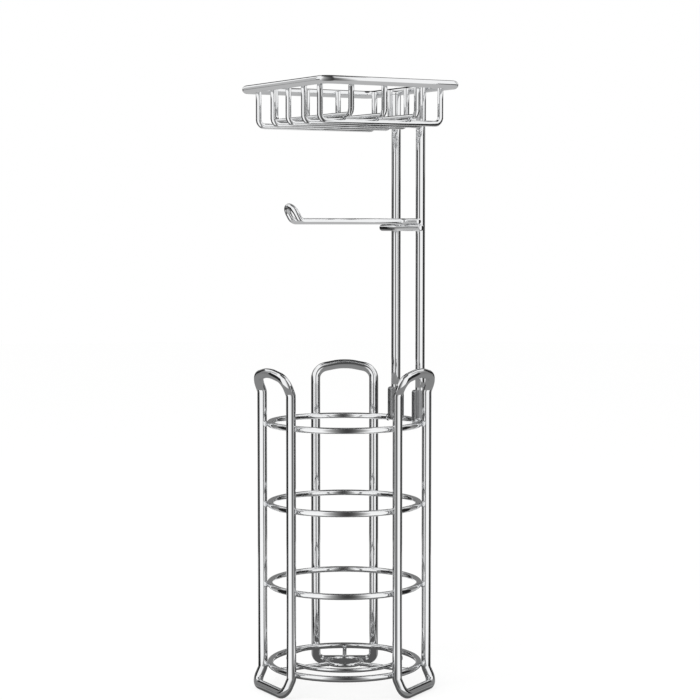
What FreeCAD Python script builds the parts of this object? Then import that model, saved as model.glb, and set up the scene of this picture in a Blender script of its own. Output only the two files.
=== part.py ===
# Free-standing chrome wire holder for toilet rolls: a round cage for spare rolls on three
# looped legs, a post that plugs into the cage, a hairpin arm for the roll in use and a
# wire basket shelf on top.
#
# Frame: millimetres, +Z up, origin on the floor under the axis of the cage. The post and
# the rear rail of the shelf stand at +Y, the front leg at -Y, and X = 0 is a mirror plane.
import FreeCAD, Part, Sketcher
import math
import os

from FreeCAD import Placement, Rotation, Vector

# Driving sizes in millimetres, and the bend angles in degrees
SIZES = {
    # stock
    "tube_diameter": 10.0,
    "ring_wire_diameter": 6.5,
    "rest_wire_diameter": 4.5,
    "arm_wire_diameter": 6.4,
    "cross_bar_diameter": 7.0,
    "rim_wire_diameter": 8.5,
    "basket_wire_diameter": 6.0,
    # cage
    "ring_outer_diameter": 165.0,
    "ring_pitch": 85.4,
    "rest_ring_diameter": 120.0,
    "hub_ring_diameter": 36.0,
    # legs
    "leg_rise": 61.2,
    "leg_width": 64.0,
    "leg_bend_radius": 8.0,
    "arch_bend_radius": 14.0,
    "arch_flare_straight": 4.6,
    "arch_flare_angle": 22.0,
    "arch_crown_radius": 50.0,
    "arch_crown_straight": 1.5,
    "arch_crown_angle": 12.0,
    "foot_bend_radius": 9.5,
    "foot_splay_straight": 6.4,
    "foot_splay_angle": 27.0,
    "ring_above_foot": 0.7,
    # post and its sockets
    "post_spacing": 49.4,
    "post_clearance": 0.05,
    "socket_wall": 1.25,
    "socket_side_straight": 5.9,
    "socket_rise": 33.4,
    "socket_floor": 1.5,
    "socket_edge_radius": 0.8,
    # roll arm
    "arm_drop": 144.3,
    "arm_reach": 127.8,
    "arm_width": 18.0,
    "arm_corner_radius": 8.0,
    "arm_tip_straight": 3.9,
    "arm_tip_angle": 60.0,
    "arm_tip_radius": 8.0,
    "arm_tail_width": 70.0,
    "cross_bar_length": 82.0,
    # shelf
    "overall_height": 637.0,
    "shelf_width": 185.5,
    "shelf_depth": 166.0,
    "shelf_corner_radius": 9.5,
    "basket_depth": 46.5,
    "basket_bend_radius": 7.0,
    "cross_wire_pitch": 38.7,
    "inner_wire_gap": 0.7,
    "outer_wire_gap": 7.4,
}

# What Sketcher's vertex numbers stand for, counted from the whole edge
VERTEX_WORDS = ("edge", "start", "end", "centre")
START, END, CENTRE = (VERTEX_WORDS.index(word) for word in ("start", "end", "centre"))
LEVEL_AXIS, UPRIGHT_AXIS = -1, -2

# The sides of the mirror plane, and the turn of each leg from the +Y side
SIDES = {"left": -1, "right": 1}
LEG_ANGLES = {"front": 180, "right": -60, "left": 60}
RING_NAMES = ("bottom", "lower", "upper", "top")

# Lengths that follow from the sizes, as expressions on the sheet
RING_RADIUS = "(Sizes.ring_outer_diameter - Sizes.ring_wire_diameter) / 2"
RING_WIRE_RADIUS = "Sizes.ring_wire_diameter / 2"
REST_WIRE_RADIUS = "Sizes.rest_wire_diameter / 2"
TUBE_RADIUS = "Sizes.tube_diameter / 2"
CROSS_BAR_RADIUS = "Sizes.cross_bar_diameter / 2"
RIM_WIRE_RADIUS = "Sizes.rim_wire_diameter / 2"
BASKET_WIRE_RADIUS = "Sizes.basket_wire_diameter / 2"
FOOT_BEND_SETBACK = "Sizes.leg_bend_radius * tan(Sizes.foot_splay_angle * 1 deg / 2)"
FOOT_RUN = f"(Sizes.foot_bend_radius + Sizes.foot_splay_straight + {FOOT_BEND_SETBACK})"
FOOT_CORNER_HEIGHT = f"{TUBE_RADIUS} + {FOOT_RUN} * cos(Sizes.foot_splay_angle * 1 deg)"
BOTTOM_RING_HEIGHT = f"{FOOT_CORNER_HEIGHT} + {FOOT_BEND_SETBACK} + Sizes.ring_above_foot"
TOP_RING_HEIGHT = f"{BOTTOM_RING_HEIGHT} + {len(RING_NAMES) - 1} * Sizes.ring_pitch"
LEG_REACH = f"sqrt((Sizes.ring_outer_diameter / 2 + {TUBE_RADIUS})^2 - (Sizes.leg_width / 2)^2)"
POST_REACH = "sqrt((Sizes.ring_outer_diameter / 2)^2 - (Sizes.post_spacing / 2)^2)"
BORE_DIAMETER = "(Sizes.tube_diameter + 2 * Sizes.post_clearance)"
SOCKET_TOP = f"{TOP_RING_HEIGHT} + Sizes.socket_rise"
POST_FOOT = f"{TOP_RING_HEIGHT} + {RING_WIRE_RADIUS} + Sizes.socket_floor"
RIM_HEIGHT = f"Sizes.overall_height - {RIM_WIRE_RADIUS}"
RIM_SIDE = f"Sizes.shelf_width / 2 - {RIM_WIRE_RADIUS}"
RIM_REAR = f"{POST_REACH} + {TUBE_RADIUS}"
RIM_FRONT = f"Sizes.shelf_depth - Sizes.rim_wire_diameter - ({RIM_REAR})"
WIRE_END_HEIGHT = f"{RIM_HEIGHT} + {RIM_WIRE_RADIUS} / 2"
LONG_WIRE_HEIGHT = f"Sizes.overall_height - Sizes.basket_depth + {BASKET_WIRE_RADIUS}"
CROSS_WIRE_HEIGHT = f"{LONG_WIRE_HEIGHT} + Sizes.basket_wire_diameter"
WIRE_INSET = f"({RIM_WIRE_RADIUS} + {BASKET_WIRE_RADIUS})"
LONG_WIRE_FRONT = f"{RIM_FRONT} - {WIRE_INSET}"
LONG_WIRE_REAR = f"{RIM_REAR} - {WIRE_INSET}"
CROSS_WIRE_SIDE = f"{RIM_SIDE} - {WIRE_INSET}"
INNER_WIRE_SIDE = f"Sizes.post_spacing / 2 + {TUBE_RADIUS} + {BASKET_WIRE_RADIUS} + Sizes.inner_wire_gap"
OUTER_WIRE_SIDE = f"{CROSS_WIRE_SIDE} - Sizes.basket_bend_radius - Sizes.outer_wire_gap"
LONG_WIRE_SIDES = (f"-({OUTER_WIRE_SIDE})", f"-({INNER_WIRE_SIDE})", None, INNER_WIRE_SIDE, OUTER_WIRE_SIDE)
CROSS_BAR_REACH = f"{POST_REACH} - {TUBE_RADIUS} - {CROSS_BAR_RADIUS}"
ARM_REAR = f"{POST_REACH} - {TUBE_RADIUS} - Sizes.arm_wire_diameter / 2"
ARM_HEIGHT = "Sizes.overall_height - Sizes.arm_drop"
CROSS_BAR_HEIGHT = f"{ARM_HEIGHT} - sqrt(Sizes.arm_wire_diameter * Sizes.cross_bar_diameter)"

document = FreeCAD.newDocument("RollHolder")
nodes = []


def fill_sheet():
    """Put the driving sizes in a spreadsheet, one named cell each."""
    sheet = document.addObject("Spreadsheet::Sheet", "Sizes")
    for row, (alias, value) in enumerate(SIZES.items(), start=1):
        sheet.set(f"A{row}", alias.replace("_", " "))
        sheet.set(f"B{row}", str(value))
        sheet.setAlias(f"B{row}", alias)
    document.recompute()
    return sheet


sheet = fill_sheet()


def length(expression):
    """The present value of an expression on the sheet."""
    return float(sheet.evalExpression(expression))


def bind(target, **expressions):
    """Tie properties of an object to expressions; a double underscore stands for a dot."""
    for name, expression in expressions.items():
        target.setExpression(name.replace("__", "."), expression)
    return target


def helper(kind, name, turn=None, **expressions):
    """A primitive of the document with its sizes and place bound to the sheet."""
    shape = document.addObject(kind, name)
    if turn is not None:
        shape.Placement = Placement(Vector(), turn)
    return bind(shape, **expressions)


def keep(shape, name):
    """Name an object as a sub-part of the holder."""
    shape.Label = name
    nodes.append(shape)
    return shape


def boolean(kind, name, base, tool):
    """A cut, fuse or common of two objects of the document."""
    result = document.addObject(kind, name)
    result.Base = base
    result.Tool = tool
    return result


# Bent tubes

def straight_run(start, end):
    """One straight edge, or none where two bends meet."""
    if start.isEqual(end, Part.Precision.confusion()):
        return []
    return [Part.LineSegment(start, end).toShape()]


def bent_path(points, radii):
    """Straight runs through the points, with each inner corner bent to its radius."""
    edges = []
    start = points[0]
    for before, corner, after, radius in zip(points, points[1:], points[2:], radii):
        arriving = (corner - before).normalize()
        leaving = (after - corner).normalize()
        half_turn = arriving.getAngle(leaving) / 2
        setback = radius * math.tan(half_turn)
        bend_start = corner - arriving * setback
        bend_end = corner + leaving * setback
        inward = (leaving - arriving).normalize()
        bend_middle = corner + inward * (radius / math.cos(half_turn) - radius)
        edges += straight_run(start, bend_start)
        edges.append(Part.Arc(bend_start, bend_middle, bend_end).toShape())
        start = bend_end
    return Part.Wire(edges + straight_run(start, points[-1]))


def mirrored_tube(points, radii, diameter):
    """A round bar bent along a path that starts anywhere and is mirrored in X = 0."""
    section = Part.Wire(Part.makeCircle(diameter / 2, points[0], points[1] - points[0]))
    half = bent_path(points, radii).makePipeShell([section], True, False)
    other_half = half.mirror(Vector(), Vector(1, 0, 0))
    return half.fuse(other_half).removeSplitter()


# Roll cage

def make_rings():
    """The four wire rings round the stack of rolls."""
    rings = {}
    for step, name in enumerate(RING_NAMES):
        ring = helper(
            "Part::Torus", f"{name}_ring",
            Radius1=RING_RADIUS,
            Radius2=RING_WIRE_RADIUS,
            Placement__Base__z=f"{BOTTOM_RING_HEIGHT} + {step} * Sizes.ring_pitch",
        )
        rings[name] = keep(ring, f"{name}_ring")
    return rings


def make_roll_rest(bottom_ring):
    """The rest under the lowest roll: a hub ring, three spokes and the ring on them."""
    hub_radius = "Sizes.hub_ring_diameter / 2"
    hub_ring = helper(
        "Part::Torus", "rest_hub_ring",
        Radius1=hub_radius,
        Radius2=REST_WIRE_RADIUS,
        Placement__Base__z=BOTTOM_RING_HEIGHT,
    )
    keep(hub_ring, "rest_hub_ring")
    rest_ring = helper(
        "Part::Torus", "roll_rest_ring",
        Radius1="Sizes.rest_ring_diameter / 2",
        Radius2=REST_WIRE_RADIUS,
        Placement__Base__z=f"{BOTTOM_RING_HEIGHT} + Sizes.rest_wire_diameter",
    )
    keep(rest_ring, "roll_rest_ring")
    seats = boolean("Part::Fuse", "SpokeSeats", bottom_ring, hub_ring)
    for name, turn in LEG_ANGLES.items():
        along_y = Rotation(Vector(1, 0, 0), -90)
        bar = helper(
            "Part::Cylinder", f"SpokeBar_{name}",
            turn=Rotation(Vector(0, 0, 1), turn) * along_y,
            Radius=REST_WIRE_RADIUS,
            Height=f"{RING_RADIUS} - {hub_radius}",
            Placement__Base__x=f"-{hub_radius} * sin({turn} deg)",
            Placement__Base__y=f"{hub_radius} * cos({turn} deg)",
            Placement__Base__z=BOTTOM_RING_HEIGHT,
        )
        keep(boolean("Part::Cut", f"{name}_rest_spoke", bar, seats), f"{name}_rest_spoke")


def leg_shape():
    """One leg loop on the +Y side: foot bar, splayed feet, uprights and flared arch."""
    leg_bend = length("Sizes.leg_bend_radius")
    arch_bend = length("Sizes.arch_bend_radius")
    foot_bend = length("Sizes.foot_bend_radius")
    arch_angle = math.radians(length("Sizes.arch_flare_angle"))
    foot_angle = math.radians(length("Sizes.foot_splay_angle"))
    crown_bend = length("Sizes.arch_crown_radius")
    crown_angle = math.radians(length("Sizes.arch_crown_angle"))
    side = length("Sizes.leg_width") / 2
    shoulder = length("Sizes.arch_crown_straight") + crown_bend * math.tan(crown_angle / 2)
    arch_setback = arch_bend * math.tan((math.pi / 2 - crown_angle) / 2)
    arch_run = arch_setback + length("Sizes.arch_flare_straight") + leg_bend * math.tan(arch_angle / 2)
    crown_rise = (side - shoulder) * math.tan(crown_angle)
    crown_run = arch_run + crown_rise
    reach = length(LEG_REACH)
    floor = length(TUBE_RADIUS)
    top = length(f"{TOP_RING_HEIGHT} + Sizes.leg_rise - {TUBE_RADIUS}")
    foot_reach = reach + length(FOOT_RUN) * math.sin(foot_angle)
    crown_reach = reach + crown_run * math.sin(arch_angle)
    points = [
        Vector(0, foot_reach, floor),
        Vector(side, foot_reach, floor),
        Vector(side, reach, length(FOOT_CORNER_HEIGHT)),
        Vector(side, reach, top - crown_run * math.cos(arch_angle)),
        Vector(side, reach + arch_run * math.sin(arch_angle), top - crown_rise * math.cos(arch_angle)),
        Vector(shoulder, crown_reach, top),
        Vector(0, crown_reach, top),
    ]
    radii = [foot_bend, leg_bend, leg_bend, arch_bend, crown_bend]
    return mirrored_tube(points, radii, length("Sizes.tube_diameter"))


def make_legs():
    """The three leg loops, welded to the outside of the rings."""
    shape = leg_shape()
    for name, turn in LEG_ANGLES.items():
        leg = document.addObject("Part::Feature", f"{name}_leg_loop")
        leg.Shape = shape
        leg.Placement = Placement(Vector(), Rotation(Vector(0, 0, 1), turn))
        keep(leg, f"{name}_leg_loop")


# Sketch helpers

def root_point():
    """A sketch's own origin, as an edge and its vertex."""
    return -1, START


def origin_plane(body, role):
    """One of the body's own origin planes, such as XY_Plane."""
    return next(plane for plane in body.Origin.OriginFeatures if plane.Role == role)


def new_sketch(body, name, role, **offset):
    """A sketch on an origin plane of the body, raised by bound offsets."""
    sketch = body.newObject("Sketcher::SketchObject", name)
    sketch.AttachmentSupport = [(origin_plane(body, role), "")]
    sketch.MapMode = "FlatFace"
    return bind(sketch, **offset)


def dimension(sketch, name, kind, *references, expression):
    """A named dimension of a sketch, bound to the sheet."""
    index = sketch.addConstraint(Sketcher.Constraint(kind, *references, length(expression)))
    sketch.renameConstraint(index, name)
    sketch.setExpression(f"Constraints.{name}", expression)


def on_axis(sketch, edge, vertex, axis):
    """Keep a point of a sketch on one of the sketch's axes."""
    sketch.addConstraint(Sketcher.Constraint("PointOnObject", edge, vertex, axis))


def draw_chain(sketch, chain):
    """Add edges to an empty sketch, each joined to the next without a kink."""
    sketch.addGeometry(chain)
    for edge in range(len(chain) - 1):
        sketch.addConstraint(Sketcher.Constraint("Tangent", edge, END, edge + 1, START))
    for edge, shape in enumerate(chain):
        if isinstance(shape, Part.LineSegment):
            level = math.isclose(shape.StartPoint.y, shape.EndPoint.y)
            sketch.addConstraint(Sketcher.Constraint("Horizontal" if level else "Vertical", edge))


def quarter_arc(middle, radius, start_angle):
    """A quarter of a circle, counter-clockwise from the start angle in degrees."""
    circle = Part.Circle(middle, Vector(0, 0, 1), radius)
    return Part.ArcOfCircle(circle, math.radians(start_angle), math.radians(start_angle + 90))


def round_section(body, role, diameter, up=None, across=None, **offset):
    """A sketch of a wire's round section, on the axes of its plane or at distances from them."""
    sketch = new_sketch(body, "Section", role, **offset)
    middle = Vector(length(across) if across else 0, length(up) if up else 0, 0)
    sketch.addGeometry(Part.Circle(middle, Vector(0, 0, 1), length(diameter) / 2))
    dimension(sketch, "diameter", "Diameter", 0, expression=diameter)
    if up:
        dimension(sketch, "up", "DistanceY", *root_point(), 0, CENTRE, expression=up)
    else:
        on_axis(sketch, 0, CENTRE, LEVEL_AXIS)
    if across:
        dimension(sketch, "across", "DistanceX", *root_point(), 0, CENTRE, expression=across)
    else:
        on_axis(sketch, 0, CENTRE, UPRIGHT_AXIS)
    return sketch


def pipe(body, section, path):
    """Sweep a section along a path as the body's solid."""
    feature = body.newObject("PartDesign::AdditivePipe", "Wire")
    feature.Profile = section
    feature.Spine = path
    return feature


# Post, its sockets and the roll arm

def make_socket(name, side, top_ring):
    """An oval sleeve with a blind bore for a post tube, notched below to sit on the top ring."""
    body = document.addObject("PartDesign::Body", f"SocketSleeve_{name}")
    bind(body, Placement__Base__x=f"{side} * Sizes.post_spacing / 2", Placement__Base__y=POST_REACH)
    oval = new_sketch(body, "Oval", "XY_Plane", AttachmentOffset__Base__z=TOP_RING_HEIGHT)
    half_width = f"{BORE_DIAMETER} / 2 + Sizes.socket_wall"
    half_straight = "Sizes.socket_side_straight / 2"
    radius = length(half_width)
    straight = length(half_straight)
    up_axis = Vector(0, 0, 1)
    rear_circle = Part.Circle(Vector(0, straight, 0), up_axis, radius)
    front_circle = Part.Circle(Vector(0, -straight, 0), up_axis, radius)
    right_side, rear_end, left_side, front_end = range(4)
    draw_chain(oval, [
        Part.LineSegment(Vector(radius, -straight, 0), Vector(radius, straight, 0)),
        Part.ArcOfCircle(rear_circle, 0, math.pi),
        Part.LineSegment(Vector(-radius, straight, 0), Vector(-radius, -straight, 0)),
        Part.ArcOfCircle(front_circle, math.pi, 2 * math.pi),
    ])
    oval.addConstraint(Sketcher.Constraint("Coincident", front_end, END, right_side, START))
    on_axis(oval, rear_end, CENTRE, UPRIGHT_AXIS)
    dimension(oval, "half_width", "Radius", rear_end, expression=half_width)
    dimension(oval, "rear_centre", "DistanceY", *root_point(), rear_end, CENTRE, expression=half_straight)
    dimension(oval, "front_centre", "DistanceY", front_end, CENTRE, *root_point(), expression=half_straight)
    sleeve = body.newObject("PartDesign::Pad", "Sleeve")
    sleeve.Profile = oval
    bind(sleeve, Length="Sizes.socket_rise")
    document.recompute()

    rounding = body.newObject("PartDesign::Fillet", "Edges")
    flat_edges = [
        f"Edge{index}" for index, edge in enumerate(sleeve.Shape.Edges, start=1)
        if edge.BoundBox.ZLength < Part.Precision.confusion()
    ]
    rounding.Base = (sleeve, flat_edges)
    bind(rounding, Radius="Sizes.socket_edge_radius")

    bore_circle = new_sketch(body, "BoreCircle", "XY_Plane", AttachmentOffset__Base__z=SOCKET_TOP)
    bore_circle.addGeometry(Part.Circle(Vector(), up_axis, length(BORE_DIAMETER) / 2))
    bore_circle.addConstraint(Sketcher.Constraint("Coincident", 0, CENTRE, *root_point()))
    dimension(bore_circle, "diameter", "Diameter", 0, expression=BORE_DIAMETER)
    bore = body.newObject("PartDesign::Pocket", "Bore")
    bore.Profile = bore_circle
    bind(bore, Length=f"{SOCKET_TOP} - ({POST_FOOT})")
    keep(boolean("Part::Cut", f"{name}_post_socket", body, top_ring), f"{name}_post_socket")


def make_posts():
    """The two post tubes, from the floor of their sockets up to a notch round the rear rail."""
    along_x = Rotation(Vector(0, 1, 0), 90)
    rail = helper(
        "Part::Cylinder", "RearRail", turn=along_x,
        Radius=RIM_WIRE_RADIUS,
        Height="Sizes.shelf_width",
        Placement__Base__x="-Sizes.shelf_width / 2",
        Placement__Base__y=RIM_REAR,
        Placement__Base__z=RIM_HEIGHT,
    )
    for name, side in SIDES.items():
        tube = helper(
            "Part::Cylinder", f"PostTube_{name}",
            Radius=TUBE_RADIUS,
            Height=f"{RIM_HEIGHT} - ({POST_FOOT})",
            Placement__Base__x=f"{side} * Sizes.post_spacing / 2",
            Placement__Base__y=POST_REACH,
            Placement__Base__z=POST_FOOT,
        )
        keep(boolean("Part::Cut", f"{name}_post", tube, rail), f"{name}_post")


def make_cross_bar():
    """The bar across the front of the post tubes, under the ends of the roll arm."""
    bar = helper(
        "Part::Cylinder", "arm_cross_bar", turn=Rotation(Vector(0, 1, 0), 90),
        Radius=CROSS_BAR_RADIUS,
        Height="Sizes.cross_bar_length",
        Placement__Base__x="-Sizes.cross_bar_length / 2",
        Placement__Base__y=CROSS_BAR_REACH,
        Placement__Base__z=CROSS_BAR_HEIGHT,
    )
    keep(bar, "arm_cross_bar")


def make_roll_arm():
    """The hairpin arm: its ends turn out on the cross bar, against the posts, and it rises in front."""
    side = length("Sizes.arm_width") / 2
    height = length(ARM_HEIGHT)
    rear = length(ARM_REAR)
    bend = rear - length("Sizes.arm_reach")
    rise = math.radians(length("Sizes.arm_tip_angle"))
    tip_radius = length("Sizes.arm_tip_radius")
    tip_length = tip_radius * math.tan(rise / 2) + length("Sizes.arm_tip_straight") + side
    tip_forward = bend - tip_length * math.cos(rise)
    tip_height = height + tip_length * math.sin(rise)
    points = [
        Vector(length("Sizes.arm_tail_width / 2"), rear, height),
        Vector(side, rear, height),
        Vector(side, bend, height),
        Vector(side, tip_forward, tip_height),
        Vector(0, tip_forward, tip_height),
    ]
    radii = [length("Sizes.arm_corner_radius"), tip_radius, side]
    arm = document.addObject("Part::Feature", "roll_arm")
    arm.Shape = mirrored_tube(points, radii, length("Sizes.arm_wire_diameter"))
    keep(arm, "roll_arm")


# Basket shelf

def make_rim():
    """The closed rounded rectangle round the shelf."""
    body = document.addObject("PartDesign::Body", "shelf_rim")
    path = new_sketch(body, "Path", "XY_Plane", AttachmentOffset__Base__z=RIM_HEIGHT)
    side = length(RIM_SIDE)
    front = -length(RIM_FRONT)
    rear = length(RIM_REAR)
    radius = length("Sizes.shelf_corner_radius")
    right = side - radius
    left = -right
    near = front + radius
    far = rear - radius
    first_front, near_right, right_rail, far_right, rear_rail = range(5)
    far_left, left_rail, near_left, last_front = range(rear_rail + 1, 2 * rear_rail + 1)
    draw_chain(path, [
        Part.LineSegment(Vector(0, front, 0), Vector(right, front, 0)),
        quarter_arc(Vector(right, near, 0), radius, 270),
        Part.LineSegment(Vector(side, near, 0), Vector(side, far, 0)),
        quarter_arc(Vector(right, far, 0), radius, 0),
        Part.LineSegment(Vector(right, rear, 0), Vector(left, rear, 0)),
        quarter_arc(Vector(left, far, 0), radius, 90),
        Part.LineSegment(Vector(-side, far, 0), Vector(-side, near, 0)),
        quarter_arc(Vector(left, near, 0), radius, 180),
        Part.LineSegment(Vector(left, front, 0), Vector(0, front, 0)),
    ])
    path.addConstraint(Sketcher.Constraint("Coincident", last_front, END, first_front, START))
    on_axis(path, first_front, START, UPRIGHT_AXIS)
    for corner in (far_right, far_left, near_left):
        path.addConstraint(Sketcher.Constraint("Equal", near_right, corner))
    dimension(path, "corner_radius", "Radius", near_right, expression="Sizes.shelf_corner_radius")
    dimension(path, "front", "DistanceY", first_front, START, *root_point(), expression=RIM_FRONT)
    dimension(path, "rear", "DistanceY", *root_point(), rear_rail, START, expression=RIM_REAR)
    dimension(path, "right_side", "DistanceX", *root_point(), right_rail, START, expression=RIM_SIDE)
    dimension(path, "left_side", "DistanceX", left_rail, START, *root_point(), expression=RIM_SIDE)
    section = round_section(
        body, "YZ_Plane", "Sizes.rim_wire_diameter", up=RIM_HEIGHT, across=f"-({RIM_FRONT})"
    )
    pipe(body, section, path)
    keep(body, "shelf_rim")


def make_basket_wire(name, plane, low_side, high_side, bottom, **section_place):
    """One U-shaped wire: two uprights against the inside of the rim, and a run under the shelf."""
    body = document.addObject("PartDesign::Body", name)
    path = new_sketch(body, "Path", plane)
    bend = length("Sizes.basket_bend_radius")
    end = length(WIRE_END_HEIGHT)
    floor = length(bottom)
    bend_top = floor + bend
    low = -length(low_side)
    high = length(high_side)
    low_upright, low_bend, run, high_bend, high_upright = range(5)
    draw_chain(path, [
        Part.LineSegment(Vector(low, end, 0), Vector(low, bend_top, 0)),
        quarter_arc(Vector(low + bend, bend_top, 0), bend, 180),
        Part.LineSegment(Vector(low + bend, floor, 0), Vector(high - bend, floor, 0)),
        quarter_arc(Vector(high - bend, bend_top, 0), bend, 270),
        Part.LineSegment(Vector(high, bend_top, 0), Vector(high, end, 0)),
    ])
    path.addConstraint(Sketcher.Constraint("Equal", low_bend, high_bend))
    dimension(path, "bend_radius", "Radius", low_bend, expression="Sizes.basket_bend_radius")
    dimension(path, "low_side", "DistanceX", low_upright, START, *root_point(), expression=low_side)
    dimension(path, "high_side", "DistanceX", *root_point(), high_upright, END, expression=high_side)
    dimension(path, "bottom", "DistanceY", *root_point(), run, START, expression=bottom)
    dimension(path, "low_end", "DistanceY", *root_point(), low_upright, START, expression=WIRE_END_HEIGHT)
    dimension(path, "high_end", "DistanceY", *root_point(), high_upright, END, expression=WIRE_END_HEIGHT)
    section = round_section(
        body, "XY_Plane", "Sizes.basket_wire_diameter",
        AttachmentOffset__Base__z=WIRE_END_HEIGHT, **section_place,
    )
    pipe(body, section, path)
    return keep(body, name)


def make_basket():
    """The long wires from front to back, and the cross wires that lie on them."""
    for number, side in enumerate(LONG_WIRE_SIDES, start=1):
        wire = make_basket_wire(
            f"basket_long_wire_{number}", "YZ_Plane", LONG_WIRE_FRONT, LONG_WIRE_REAR, LONG_WIRE_HEIGHT,
            up=f"-({LONG_WIRE_FRONT})",
        )
        if side:
            bind(wire, Placement__Base__x=side)
    for number, step in enumerate(range(-1, 2), start=1):
        wire = make_basket_wire(
            f"basket_cross_wire_{number}", "XZ_Plane", CROSS_WIRE_SIDE, CROSS_WIRE_SIDE, CROSS_WIRE_HEIGHT,
            across=f"-({CROSS_WIRE_SIDE})",
        )
        if step:
            bind(wire, Placement__Base__y=f"{step} * Sizes.cross_wire_pitch")


def check_and_export():
    """Stop on any failed object, then write one file for each sub-part."""
    document.recompute()
    for item in document.Objects:
        if "Invalid" in item.State or "Error" in item.State:
            raise RuntimeError(f"{item.Label} failed: {item.State}")
    os.makedirs("parts", exist_ok=True)
    for node in nodes:
        shape = node.Shape
        if shape.isNull() or not shape.isValid():
            raise RuntimeError(f"{node.Label} has no valid shape")
        shape.exportStep(f"parts/{node.Label}.step")


rings = make_rings()
make_roll_rest(rings["bottom"])
make_legs()
for name, side in SIDES.items():
    make_socket(name, side, rings["top"])
make_posts()
make_cross_bar()
make_roll_arm()
make_rim()
make_basket()
check_and_export()
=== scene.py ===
"""Looks of a free-standing chrome toilet roll holder: bent tubes, wire rings and a basket shelf.

Laid out as a Blender add-on and run as a script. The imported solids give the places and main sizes,
in metres, and a smooth swept piece stands for each of them.
"""
import math
from collections import namedtuple

import bmesh
import bpy
from bpy.props import FloatProperty, FloatVectorProperty, IntProperty, PointerProperty
from mathutils import Matrix, Vector


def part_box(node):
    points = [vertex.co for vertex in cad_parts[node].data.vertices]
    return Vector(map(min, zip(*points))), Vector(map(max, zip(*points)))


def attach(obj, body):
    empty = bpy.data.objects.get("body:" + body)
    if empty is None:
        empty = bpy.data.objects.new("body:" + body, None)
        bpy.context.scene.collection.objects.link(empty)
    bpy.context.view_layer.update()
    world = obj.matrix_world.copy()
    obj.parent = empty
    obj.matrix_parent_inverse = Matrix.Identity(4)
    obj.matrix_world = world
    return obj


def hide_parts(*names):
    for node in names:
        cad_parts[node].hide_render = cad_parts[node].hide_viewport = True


bl_info = {
    "name": "Chrome Roll Holder",
    "version": (1, 0, 0),
    "blender": (4, 5, 0),
    "location": "View3D > Sidebar > Roll Holder",
    "description": "Roll cage, roll arm and basket shelf of a free-standing toilet roll holder",
    "category": "Add Mesh",
}

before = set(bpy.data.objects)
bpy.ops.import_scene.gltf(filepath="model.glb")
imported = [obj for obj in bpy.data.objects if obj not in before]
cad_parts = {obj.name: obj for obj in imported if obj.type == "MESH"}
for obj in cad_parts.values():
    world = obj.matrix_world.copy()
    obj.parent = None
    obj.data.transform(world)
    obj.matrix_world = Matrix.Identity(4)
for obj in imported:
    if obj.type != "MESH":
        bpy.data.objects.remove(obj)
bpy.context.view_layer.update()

MILLIMETRE = 0.001
MERGE_DISTANCE = 0.01 * MILLIMETRE
SHARP_ANGLE = math.radians(50)
LEAST_BEND_STEPS = 2
BEAD_SUBDIVISIONS = 2
STAGE_STEPS = 96
NOISE_MIDDLE = 0.5
ORIGIN = Vector((0, 0, 0))
UP = Vector((0, 0, 1))
ALONG_X = Vector((1, 0, 0))
ALONG_Y = Vector((0, 1, 0))

# The turn of each leg from the +Y side, and the sides of the mirror plane
LEG_TURNS = {"front": math.radians(180), "right": math.radians(-60), "left": math.radians(60)}
SIDES = ("left", "right")
RING_NAMES = ("bottom", "lower", "upper", "top")
LONG_WIRES = [f"basket_long_wire_{number}" for number in range(1, 6)]
CROSS_WIRES = [f"basket_cross_wire_{number}" for number in range(1, 4)]

# The level round cards of the stage, in metres: overhead, on the floor and among the rods
LevelCard = namedtuple("LevelCard", "grey height radius one_sided")
LEVEL_CARDS = {
    "top_card": LevelCard(grey=0.04, height=1.5, radius=0.48, one_sided=False),
    "low_card": LevelCard(grey=0.25, height=0.0002, radius=0.165, one_sided=False),
    "shade_card": LevelCard(grey=0.1, height=0.0003, radius=0.1, one_sided=False),
    "arch_apron": LevelCard(grey=0.25, height=0.316, radius=0.16, one_sided=True),
    "shelf_apron": LevelCard(grey=0.5, height=0.606, radius=0.3, one_sided=True),
    "shelf_underlay": LevelCard(grey=0.5, height=0.47, radius=0.07, one_sided=True),
}


# Properties

def length(name, description, millimetres):
    """A length property, given in millimetres and kept in metres."""
    return FloatProperty(
        name=name, description=description, default=millimetres * MILLIMETRE, unit="LENGTH", precision=5
    )


def angle(name, description, degrees):
    """An angle property, given in degrees and kept in radians."""
    return FloatProperty(
        name=name, description=description, default=math.radians(degrees), subtype="ANGLE"
    )


def factor(name, description, share, most=1.0):
    """A share from nothing to all, or up to a number of times."""
    return FloatProperty(
        name=name, description=description, default=share, min=0.0, max=most, subtype="FACTOR"
    )


def count(name, description, number, least):
    """A whole number of steps or sides."""
    return IntProperty(name=name, description=description, default=number, min=least)


def colour(name, description, *levels):
    """A linear colour."""
    return FloatVectorProperty(
        name=name, description=description, default=levels, size=3, min=0.0, max=1.0, subtype="COLOR"
    )


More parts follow.
